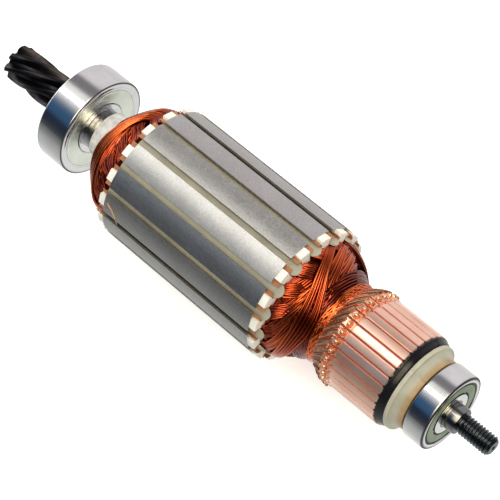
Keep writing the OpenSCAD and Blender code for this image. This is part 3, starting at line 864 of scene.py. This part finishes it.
def makeHoops(name, head, sets):
    # Turns that run round the shaft in overlapping arcs, at a depth under the profile, and lean away as t^2
    shape = Shape()
    t = np.linspace(-1, 1, 36)[None]
    for arc in range(hoops["arcs"]):
        for count, first, step, lean, deep, tone in sets:
            place = np.arange(count)[:, None]
            middle = hoops["first"] + 360 / hoops["arcs"] * arc + rng.uniform(-9, 9)
            x = first + step * place + lean * t ** 2 * np.where(t < 0, 1.2, 0.9) + wobble(count, t, 0.08)
            angle = middle + hoops["half"] * t + 2 * place
            r = headRadius(head, x) - deep + wobble(count, t, 0.05)
            # Random tone plus the set's painted shade, darker for the deeper sets
            tones = rng.uniform(0, 0.3, (count, 1)) + tone + 0 * x
            shape.bundle(tubes(aboutShaft(x, r, np.radians(angle)), coils["wireR"], 6), shadeRound(tones, 6))
    makePiece(name, shape, "rotor", ["armature_winding"], materials["copper_wire"], 80)


under = {
    "depth": 3.4,
    "leastR": 8.6,
    "boreR": 8.0,
    "slotFill": [(12.6, -0.7), (19.2, -1.9), (19.2, 1.9), (12.6, 0.7)],  # r and to the side
}


def makeCoilBodies():
    # What lies under the outer turns, coloured near-black as painted shade: at each end a body turned to the
    # profile less a depth, and in each slot a fill with one section from end to end
    shape = Shape()
    for head, start, end in ((commHead, at["plateEnd"] - 0.6, at["bindStart"] + 0.4),
                             (driveHead, at["headStart"] + 1.2, at["plateStart"] + 0.6)):
        x = np.linspace(start, end, 30)
        r = np.maximum(headRadius(head, x) - under["depth"], under["leastR"])
        profile = np.vstack([np.stack([x, r], 1), [[end, under["boreR"]], [start, under["boreR"]]]])
        shape.ring(spun(profile, 96))
    out, aside = rounded(under["slotFill"], 0.5, 3).T
    x = np.array([at["plateStart"] - 0.4, at["plateEnd"] + 0.4])[:, None]
    angle = np.radians(firstSlot + slotStep * np.arange(slotCount))[:, None, None]
    y = out * np.cos(angle) - aside * np.sin(angle)
    z = out * np.sin(angle) + aside * np.cos(angle)
    shape.bundle(np.stack(np.broadcast_arrays(x, y, z), -1), 0.9)
    makePiece("slot_coils", shape, "rotor", ["armature_winding"], materials["coil_shadow"])


makeCoilBodies()
makeCoilEnds("comm_end_coils", commHead)
makeHoops("neck_turns", commHead, hoops["neck"])
makeHoops("head_turns", driveHead, hoops["head"])
makeCoilEnds("drive_end_coils", driveHead)
print("winding is made")


leads = {
    "count": 32,
    "phase": firstBar,  # degrees, a riser's middle
    "slant": 3.7,  # degrees round the shaft for each mm along it
    "bed": [12.3, 13.0, 14.45],  # the resin's radius at the neck, just past it, and at the risers
    "boreR": 8.2,
    "ridge": 0.75,
    "lump": 0.072,
    "lumpWaves": (23, 41, 67, 97),
    "wireR": 0.3,
    "aside": 0.32,  # how far each lead of a pair lies from the ridge
    "startX": 101.3,
    "swing": 16,  # degrees
}


def resinRadius(x, angle, ridge=leads["ridge"]):
    # The leads' bed rises from the neck to the risers, with a slanting ridge for each pair as high as
    # (0.5 + 0.5 cos)^1.3
    base = np.interp(x, [at["bindStart"], at["bindStart"] + 0.9, at["bindEnd"]], leads["bed"])
    turned = np.radians(leads["phase"] + leads["slant"] * (at["bindEnd"] - x))
    return base + ridge * (0.5 + 0.5 * np.cos(leads["count"] * (angle - turned))) ** 1.3


def makeLeadResin():
    # The bed turned once round the shaft, with lumps added as products of two sines
    shape = Shape()
    x = np.linspace(at["bindStart"] - 0.2, at["bindEnd"] + 0.05, 34)[:, None]
    columns = leads["count"] * 22
    angle = (np.arange(columns) * 2 * pi / columns)[None]
    r = resinRadius(x, angle)
    for waves in leads["lumpWaves"]:
        high = leads["lump"] * rng.uniform(0.4, 1)
        slant = rng.uniform(2, 7)
        beat = rng.uniform(1.5, 5) * x + rng.uniform(0, 6) + 3 * np.sin(waves * angle / 3)
        r = r + high * np.sin(waves * angle + slant * x) * np.sin(beat)
    bore = aboutShaft(np.array([[x[-1, 0]], [x[0, 0]]]), leads["boreR"], angle)
    tone = np.vstack([(r - resinRadius(x, angle, 0)) / leads["ridge"], np.zeros((2, columns))])
    shape.ring(np.concatenate([aboutShaft(x, r, angle), bore]), tone)
    makePiece("lead_resin", shape, "rotor", ["lead_binding"], materials["lead_resin"])


def makeLeads():
    # Pairs of leads from the neck to their risers: they swing round as they climb, by (1 - t)^3, then lie
    # along a ridge
    shape = Shape()
    count = leads["count"]
    t = np.linspace(0, 1, 26)[None]
    number = np.arange(count)[:, None]
    x = leads["startX"] + (at["riser"] + 0.5 - leads["startX"]) * t
    steady = leads["phase"] + 360 / count * number + leads["slant"] * (at["bindEnd"] - x)
    free = headRadius(commHead, x) - 0.1
    lie = smooth(x, at["bindStart"] - 0.8, at["bindStart"] + 0.9)
    inResin = smooth(x, at["bindStart"] - 0.6, at["bindStart"] + 1.2)
    for side in (-leads["aside"], leads["aside"]):
        swing = leads["swing"] * (1 - t) ** 3 * (1 + 0.3 * rng.uniform(-1, 1, (count, 1)))
        angle = np.radians(steady + swing)
        r = free * (1 - lie) + (resinRadius(x, angle - np.radians(swing)) - 0.08) * lie
        r = r + wobble(count, t, 0.08) + 0.1 * rng.uniform(-1, 1, (count, 1)) * lie
        angle = angle + (side + wobble(count, t, 0.12)) / r
        coated = inResin * rng.uniform(0.45, 1, (count, 1))
        shape.bundle(tubes(aboutShaft(x, r, angle), leads["wireR"], 6), coated)
    makePiece("lead_wires", shape, "rotor", ["lead_binding"], materials["coated_lead"], 80)


bars = {
    "half": 1.2,  # half a bar's width on the track
    "riserR": 15.0,
    "trackR": 14.8,
    "grooveR": 14.3,
    "insideR": 10.8,
    "riserLength": 3.4,
    "grooveLength": 0.8,
    "hookAt": 1.9,
    "hookR": 0.74,
    "hookRise": 0.75,
    "cutWidth": 0.17,
    "cutDepth": 0.75,
}


def makeBars():
    # Each bar is its top carried along it and closed below. Top: riser, groove and track in steps, and on
    # the riser a bead sqrt(1 - (d/R)^2) high inside a round cut exp(-((d - R1)/w)^2) deep.
    hook = at["riser"] + bars["riserLength"]
    track = hook + bars["grooveLength"]
    end = at["trackEnd"]
    x = np.concatenate([
        at["riser"] + np.array([0, 0.04]), np.linspace(at["riser"] + 0.12, hook - 0.05, 34),
        hook + np.array([0.06, 0.16]), track - np.array([0.16, 0.06]), track + np.array([0.06, 0.3]),
        np.linspace(track + 1, end - 1, 5),
        end - np.array([0.8, 0.6, 0.42, 0.28, 0.16, 0.08, 0.02, 0])])[:, None]
    s = np.concatenate([[-1, -0.97], np.linspace(-0.9, 0.9, 19), [0.97, 1]])[None]
    number = np.arange(leads["count"])[:, None, None]
    jitter = rng.uniform(-1, 1, (3, leads["count"], 1, 1))
    half = bars["half"] * (1 - 0.3 * (1 - np.sqrt(1 - np.clip((x - end + 0.5) / 0.5, 0, 1) ** 2 * 0.98)))
    d = np.hypot(x - at["riser"] - bars["hookAt"] + 0.12 * jitter[0], s * half + 0.1 * jitter[1])
    step = bars["riserR"] + (bars["grooveR"] - bars["riserR"]) * smooth(x, hook, hook + 0.1)
    step = step + (bars["trackR"] - bars["grooveR"]) * smooth(x, track - 0.1, track)
    bead = np.sqrt(np.clip(1 - (d / bars["hookR"]) ** 2, 0, 1))
    cut = np.exp(-((d - bars["hookR"] - 0.12) / bars["cutWidth"]) ** 2)
    cut = cut * (0.55 + 0.45 * np.sign(x - at["riser"] - 1.5))
    top = step + bars["hookRise"] * bead * (1 + 0.12 * jitter[2]) - bars["cutDepth"] * cut
    top = top - 0.1 * (np.abs(s) > 0.98) - 0.03 * (np.abs(s) > 0.95) - 0.35 * smooth(x, end - 0.35, end) ** 2
    top = top - 0.2 * (1 - smooth(x, at["riser"] - 0.05, at["riser"] + 0.12)) + 0.015 * jitter[2]
    middle = np.radians(leads["phase"] + 360 / leads["count"] * number)
    upper = aboutShaft(x, top, middle + s * half / bars["trackR"])
    low = middle + half * np.array([0.98, -0.98]) / bars["trackR"]
    lower = aboutShaft(x, bars["insideR"], low)
    hooks = np.broadcast_to(np.clip(cut + 0.3 * (x < hook), 0, 1), top.shape)
    shape = Shape()
    shape.bundle(np.concatenate([upper, lower], axis=2), np.pad(hooks, ((0, 0), (0, 0), (0, 2))))
    makePiece("commutator_segments", shape, "rotor", ["commutator_bars"],
              materials["bar_copper"], 30)


hub = {
    "boreR": 7.3,
    "insideR": 10.75,  # under the bars
    # from the bars' ends on: how far past them, the radius, and the corner's radius
    "flange": [(-0.05, 14.1, 0.1), (0, 14.62, 0.15), (0.45, 14.68, 0.2), (0.9, 14.35, 0.3),
               (1.7, 14.0, 0.3)],
    "face": [(-0.3, 13.75, 0.2), (0, 13.45, 0.15)],  # the same, from the flange's end back
    "toothLength": 0.6,
}


def makeHub():
    # The moulding that holds the bars: black fills the gaps between the bars' ends in short teeth
    start = at["riser"]
    end = at["trackEnd"]
    last = at["flangeEnd"]
    inside = [(start, hub["boreR"], 0), (start, hub["insideR"], 0), (end - 0.05, hub["insideR"], 0)]
    outside = [(end + x, r, c) for x, r, c in hub["flange"]] + [(last + x, r, c) for x, r, c in hub["face"]]
    x, r, corner = np.array(inside + outside + [(last, hub["boreR"], 0)]).T

    def teeth(grid):
        # Between two bars the front edge reaches forward, less the further it is from the gap's middle
        angle = np.arctan2(grid[..., 2], grid[..., 1])
        wave = np.abs(((np.degrees(angle) - firstGap) / barStep) % 1 - 0.5) * 2
        push = hub["toothLength"] * (1 - smooth((1 - wave) * 1.45, 0.2, 0.55))
        push = push + 0.12 * np.sin(angle * 53) * np.sin(angle * 17)
        near = smooth(grid[..., 0], end - 0.1, end - 0.04) * (1 - smooth(grid[..., 0], end + 0.1, end + 0.5))
        grid[..., 0] -= push * near * (fromShaft(grid) > 13)
        return grid

    makeRound("commutator_hub", np.stack([x, r], 1), corner, 640, "rotor", "commutator_moulding",
              "moulding_black", relief=teeth)


ivory = {
    "boreR": 6.0,
    "neckR": (12.8, 11.6, 11.4),
    "mouldLines": (106, -74),  # degrees about the shaft
    "lineHeight": 0.12,
}


def makeInsulatingRing():
    # A flange that slopes to a neck, with a mould line exp(-(degrees / 0.9)^2) high on each side
    start, end, outer = reach("insulating_ring")
    high, low, least = ivory["neckR"]
    profile = [(start, ivory["boreR"]), (start, outer), (start + 1.2, outer - 0.05), (start + 1.3, high),
               (start + 2.9, low), (end, least), (end, ivory["boreR"])]

    def mouldLine(grid):
        angle = np.degrees(np.arctan2(grid[..., 2], grid[..., 1]))
        away = np.min([np.abs(angle - line) for line in ivory["mouldLines"]], axis=0)
        r = fromShaft(grid)
        grow = 1 + ivory["lineHeight"] * np.exp(-(away / 0.9) ** 2) * (r > 10) / np.maximum(r, 1)
        grid[..., 1:] *= grow[..., None]
        return grid

    def recessShade(grid):
        # Painted shade: brown where the neck is low, more so away from the flange
        return smooth(-fromShaft(grid), -12.6, -11.5) * smooth(grid[..., 0], start + 2.2, start + 4.2)

    makeRound("ivory_ring", profile, [0, 0.12, 0.25, 0.25, 0.5, 0.1, 0], 360, "rotor", "insulating_ring",
              "ring_ivory", relief=mouldLine, tone=recessShade)


makeLeadResin()
makeLeads()
makeBars()
makeHub()
makeInsulatingRing()
print("commutator is made")

# middle is a bearing's x, and half is half its width. The rings' grooves are arcs of radius ball about the
# ball circle, whose radius is pitch
bearings = {
    "drive": {
        "middle": 0.0, "half": 5.0, "outer": 16.0, "corner": 0.6, "faceIn": 13.9, "seat": 13.27,
        "land": 12.75, "pitch": 11.0, "ball": 3.03, "step": 8.35, "bore": 6.0, "seatDepth": 0.67,
        "skin": 0.05,  # how near the face the painted dark reflection along the corner goes
        "body": "drive_bearing_fixed",
        "cover": "drive_shield_{}",
        "made": "_pressed",
        "slot": "shield_steel",
        # from the rim to the lip and back underneath: depth under the face, and radius
        "section": [(0.55, 13.22), (0.20, 13.22), (0.10, 13.0), (0.14, 12.75), (0.22, 12.5), (0.24, 11.9),
                    (0.20, 9.2), (0.24, 8.75), (0.38, 8.6), (0.60, 8.6), (0.60, 8.9), (0.60, 12.7)],
        "unshaded": (0, 99),  # between these radii there is no painted shade at the seal's edges: here, anywhere
    },
    "comm": {
        "middle": 138.5, "half": 3.5, "outer": 12.0, "corner": 0.9, "faceIn": 10.45, "seat": 10.35,
        "land": 9.45, "pitch": 8.25, "ball": 2.03, "step": 6.5, "bore": 4.5, "seatDepth": 0.67,
        "skin": 0.5,
        "body": "comm_bearing_ring",
        "cover": "comm_seal_{}",
        "made": "_moulded",
        "slot": "seal_rubber",
        "section": [(0.62, 10.3), (0.52, 10.3), (0.50, 9.75), (0.20, 9.65), (0.12, 9.5), (0.10, 9.3),
                    (0.12, 7.3), (0.18, 7.05), (0.30, 6.92), (0.50, 6.86), (0.62, 6.95), (0.62, 9.5)],
        "unshaded": (7.2, 9.5),
    },
}


def ballGroove(size, side):
    # Half a groove's section, an arc about the ball circle, on its outside (1) or inside (-1), from the
    # middle out to the land
    reachX = np.sqrt(size["ball"] ** 2 - (size["land"] - size["pitch"]) ** 2)
    across = np.linspace(0.0, 1.0, 7)[1:] * reachX
    return list(np.stack([across, size["pitch"] + side * np.sqrt(size["ball"] ** 2 - across ** 2)], 1))


def mirrored(points, middle):
    # Points listed from the middle of a ring out to its face, then the same on the other side
    right = np.array(points, float)
    left = right[::-1] * (-1, 1)
    return np.vstack([right, left]) + (middle, 0)


def makeOuterRing(end, size):
    # Half a section from the ball groove to the face, with the seat that the cover is held in
    half = size["half"]
    outer = size["outer"]
    seatIn = half - size["seatDepth"]
    face = [(seatIn, size["land"]), (seatIn, size["seat"]), (half - 0.22, size["seat"]),
            (half - 0.16, size["faceIn"] - 0.08), (half - 0.02, size["faceIn"]),
            (half - 0.08, size["faceIn"] + 0.12), (half - 0.08, outer - size["corner"] - 0.35),
            (half, outer - size["corner"] - 0.2), (half, outer)]
    profile = mirrored(ballGroove(size, 1) + face, size["middle"])
    radius = np.where(profile[:, 1] == outer, size["corner"], 0.0)
    radius[profile[:, 1] == size["faceIn"]] = 0.04

    def skin(grid):
        # Painted dark reflection: dark along the middle of each rounded corner, where both distances from it
        # are short
        inFromRim = outer - fromShaft(grid)
        inFromFace = half - np.abs(grid[..., 0] - size["middle"])
        band = smooth(inFromRim, 0.02, 0.12) * (1 - smooth(inFromFace, size["skin"], size["skin"] + 0.12))
        return 0.5 + 0.5 * band * (1 - smooth(inFromRim, size["corner"], size["corner"] + 0.1))

    makeRound(end + "_race_outer", profile, radius, 192, size["body"], end + "_outer_ring",
              "bearing_steel", tone=skin)


def makeCover(node, size):
    # A shield or seal: its section on the side of the bearing that it closes
    side = 1 if sum(reach(node)[:2]) > 2 * size["middle"] else -1
    depth, r = np.array(size["section"]).T
    profile = np.stack([size["middle"] + side * (size["half"] - depth), r], 1)

    def edgeShade(grid):
        # Painted shade: darker outside the unshaded radii, in the gaps at the seal's edges
        low, high = size["unshaded"]
        r = fromShaft(grid)
        return 0.5 + 0.5 * (smooth(r, high, high + 0.1) + 1 - smooth(r, low - 0.1, low))

    makeRound(node + size["made"], profile, 0.12, 160, size["body"], node, size["slot"], tone=edgeShade)


def makeInnerRing(end, size):
    # An inner ring has a step on each side, from its land down to the face, that the cover's lip runs in
    land = 2 * size["pitch"] - size["land"]
    half = size["half"]
    face = [(half - 0.75, land), (half - 0.75, size["step"]), (half, size["step"]), (half, size["bore"])]
    profile = mirrored(ballGroove(size, -1) + face, size["middle"])
    radius = np.where((profile[:, 1] == size["step"]) | (profile[:, 1] == size["bore"]), 0.12, 0.0)
    makeRound(end + "_race_inner", profile, radius, 128, "rotor", end + "_inner_ring", "bearing_steel")


for end, size in bearings.items():
    makeOuterRing(end, size)
for end, size in bearings.items():
    for place in ("outer", "inner"):
        makeCover(size["cover"].format(place), size)
for end, size in bearings.items():
    makeInnerRing(end, size)
print("bearings are made")

shaftSize = {
    "teeth": 7,
    "toothTurn": 118.6,  # degrees, a tooth's middle at the end of the shaft
    "twist": -4.8,  # degrees for each mm
    "tipR": 5.8,
    "toothHeight": 2.1,
    "tipHalf": 8.0,  # degrees
    "rootHalf": 19.0,
    "teethStart": -31.8,
    "teethEnd": -6.8,
    "bodyR": 6.0,
    "seatX": 135.0,
    "seatR": 4.5,
    "seatEnd": 142.0,
    "stubR": 4.0,
    "stubEnd": 145.7,
    "threadR": 3.0,
    "pitch": 1.0,
    "threadDepth": 0.55,
}


def makeShaft():
    # r(x, angle). On the teeth, r falls from tip to root as the angle from a tooth's middle grows, and the
    # teeth turn with x. On the thread, r is a wave of x / pitch - angle / 360.
    k = shaftSize
    tip = reach("shaft")[1]
    columns = k["teeth"] * 26
    around = (np.arange(columns) + 0.5) * 360 / columns
    toTooth = np.abs((around + 180 / k["teeth"]) % (360 / k["teeth"]) - 180 / k["teeth"])
    share = np.clip((k["rootHalf"] - toTooth) / (k["rootHalf"] - k["tipHalf"]), 0, 1) ** (1 / 0.7)
    tooth = k["tipR"] - k["toothHeight"] * (1 - share) - 0.12 * np.clip(toTooth / k["tipHalf"], 0, 1) ** 4
    start = k["teethStart"]
    teethEnd = k["teethEnd"]
    # the toothed end's face: a centre hole, then a bevel that cuts the teeth, 1.9 sqrt(b) over their roots
    hole = np.array([(0.9, 0.02), (0.9, 0.7), (0.0, 0.9), (0.0, 2.9)])
    bevel = np.array([(0.05, 0.2), (0.2, 0.45), (0.4, 0.75), (0.6, 1.1), (0.9, 1.6)])
    xTeeth = np.concatenate([start + hole[:, 0], start + bevel[:, 0],
                             np.linspace(start + 1.2, teethEnd - 1.6, 64),
                             teethEnd - np.array([1.2, 0.8, 0.45, 0.2, 0.0])])
    xPlain, rPlain = np.array([
        (teethEnd + 0.02, 5.6), (teethEnd + 0.3, k["bodyR"]), (20, k["bodyR"]), (60, k["bodyR"]),
        (100, k["bodyR"]), (k["seatX"] - 0.1, k["bodyR"]), (k["seatX"], k["bodyR"] - 0.1),
        (k["seatX"], k["seatR"]), (k["seatEnd"] - 0.02, k["seatR"]), (k["seatEnd"] + 0.02, k["stubR"]),
        (k["stubEnd"] - 0.3, k["stubR"]), (k["stubEnd"] - 0.05, 3.85), (k["stubEnd"], 3.7),
        (k["stubEnd"], 2.62), (k["stubEnd"] + 0.5, 2.6)]).T
    xThread = np.arange(k["stubEnd"] + 0.58, tip - 0.75, 0.09)
    xTip, rTip = np.array([(0.7, 2.72), (0.45, 2.55), (0.2, 2.35), (0, 2.15), (0, 1.4), (0, 0.8),
                           (0.5, 0.25), (0.5, 0.02)]).T
    x = np.concatenate([xTeeth, xPlain, xThread, tip - xTip])[:, None]
    turn = k["toothTurn"] + around[None] + k["twist"] * (np.minimum(x, teethEnd) - start)
    toothed = np.tile(tooth, (len(xTeeth), 1))
    toothed[:4] = hole[:, 1:]
    toothed[4:9] = np.minimum(tooth, tooth.min() + 0.165 + 1.9 * np.sqrt(bevel[:, 1:]))
    runOut = smooth(xTeeth[:, None], teethEnd - 1.6, teethEnd)
    toothed = toothed + (5.6 - toothed) * runOut
    wave = np.abs(((xThread[:, None] / k["pitch"] - turn[-len(xThread) - 8:-8] / 360) % 1) * 2 - 1)
    fade = smooth(xThread[:, None], k["stubEnd"] + 0.5, k["stubEnd"] + 1.1)
    thread = k["threadR"] - k["threadDepth"] * smooth(wave, 0.12, 0.88) * fade - 0.35 * (1 - fade)
    wide = np.ones((1, columns))
    r = np.vstack([toothed, rPlain[:, None] * wide, thread, rTip[:, None] * wide])
    tone = np.zeros(r.shape)
    tone[:len(xTeeth)] = 1.0
    tone[len(xTeeth) + len(xPlain) - 3:] = 0.5
    shape = Shape()
    shape.bundle(aboutShaft(x, r, np.radians(turn))[None], tone[None])
    makePiece("shaft_turned", shape, "rotor", ["shaft"], materials["shaft_steel"], 40)


def makeCollar():
    # A turned neck, then a matt barrel with a crisp edge
    start, end, outer = reach("drive_collar")
    edge = start + 3.0
    bore = shaftSize["bodyR"]
    profile = [(start, bore), (start, outer - 0.75), (edge - 0.1, outer - 0.7), (edge, outer), (end, outer),
               (end, bore)]

    def turned(grid):
        # 1 on the neck, falling to 0 at the barrel's edge
        return 1 - smooth(grid[..., 0], edge - 0.1, edge + 0.05)

    makeRound("drive_collar_turned", profile, [0, 0.2, 0.1, 0.15, 0.3, 0], 128, "rotor", "drive_collar",
              "collar_metal", tone=turned)


makeShaft()
makeCollar()
print("shaft and collar are made")

wedges = {
    "top": 19.95,
    "thick": 0.4,
    "half": 2.2,
    "bow": 0.18,
    "bend": 0.75,
}


def makeWedges():
    # A strip with a round end, bowed across, whose free end bends in towards the shaft as distance^2
    start, end, _ = reach("slot_wedges")
    half = wedges["half"]
    x = np.concatenate([[start], np.linspace(start + 0.5, at["coreEnd"] - 0.2, 8),
                        np.linspace(at["coreEnd"] + 0.1, end - half, 6),
                        end - half * (1 - np.sin(np.linspace(0.1, 1, 9) * pi / 2 * 0.985))])
    roundEnd = np.sqrt(np.clip(1 - np.clip((x - end + half) / half, 0, 1) ** 2, 0.02, 1))
    across = roundEnd[:, None] * np.linspace(-1, 1, 9)
    upper = wedges["top"] - wedges["bow"] * across ** 2
    lower = (upper - wedges["thick"])[:, ::-1]
    y = half * np.concatenate([across, across[:, ::-1]], 1)
    bend = wedges["bend"] * np.clip((x - at["coreEnd"]) / (end - at["coreEnd"]), 0, 1)[:, None] ** 2
    each = (slotCount, 1, 1)
    r = np.concatenate([upper, lower], 1) - bend * rng.uniform(0.5, 1.4, each)
    r = r + rng.uniform(-0.03, 0.03, each) * y
    x = x[:, None] + rng.uniform(-0.25, 0.0, each) * (x[:, None] > at["coreEnd"])
    angle = np.radians(firstSlot + slotStep * np.arange(slotCount)).reshape(each)
    placed = (x, r * np.cos(angle) - y * np.sin(angle), r * np.sin(angle) + y * np.cos(angle))
    shape = Shape()
    shape.bundle(np.stack(np.broadcast_arrays(*placed), -1), rng.uniform(0, 1, slotCount))
    makePiece("slot_wedge_strips", shape, "rotor", ["slot_wedges"],
              materials["wedge_laminate"])


makeWedges()
print("slot wedges are made")

# Torn slot paper at the end of the core: x, degrees about the shaft and r along each shred
shreds = {
    "radius": 0.19,
    "routes": [
        ([30.6, 32.4, 34.0, 34.6], [160.1, 162.8, 167.6, 174.8], [21.8, 21.9, 21.75, 21.2]),
        ([28.4, 27.6, 26.8, 26.2], [179.0, 178.5, 177.5, 176.5], [20.6, 20.9, 21.1, 21.2]),
        ([28.4, 27.7, 27.2, 26.9], [179.0, 180.0, 181.0, 182.0], [20.6, 20.8, 20.8, 20.7]),
        ([28.4, 27.6, 27.1, 26.8], [179.5, 178.0, 176.0, 174.5], [20.7, 21.0, 21.2, 21.3]),
    ],
}


def makeShreds():
    # Each shred runs straight between its four points, with a slow sine in its angle
    shape = Shape()
    t = np.linspace(0, 3, 22)
    for route in shreds["routes"]:
        x, angle, r = (np.interp(t, np.arange(4), values)[None] for values in route)
        angle = np.radians(angle + 0.3 * np.sin(t * 4.0))
        shape.bundle(tubes(aboutShaft(x, r, angle), shreds["radius"], 6), 0.0)
    makePiece("paper_shreds", shape, "rotor", [], materials["shred_paper"], 80)


makeShreds()
print("shreds are made")
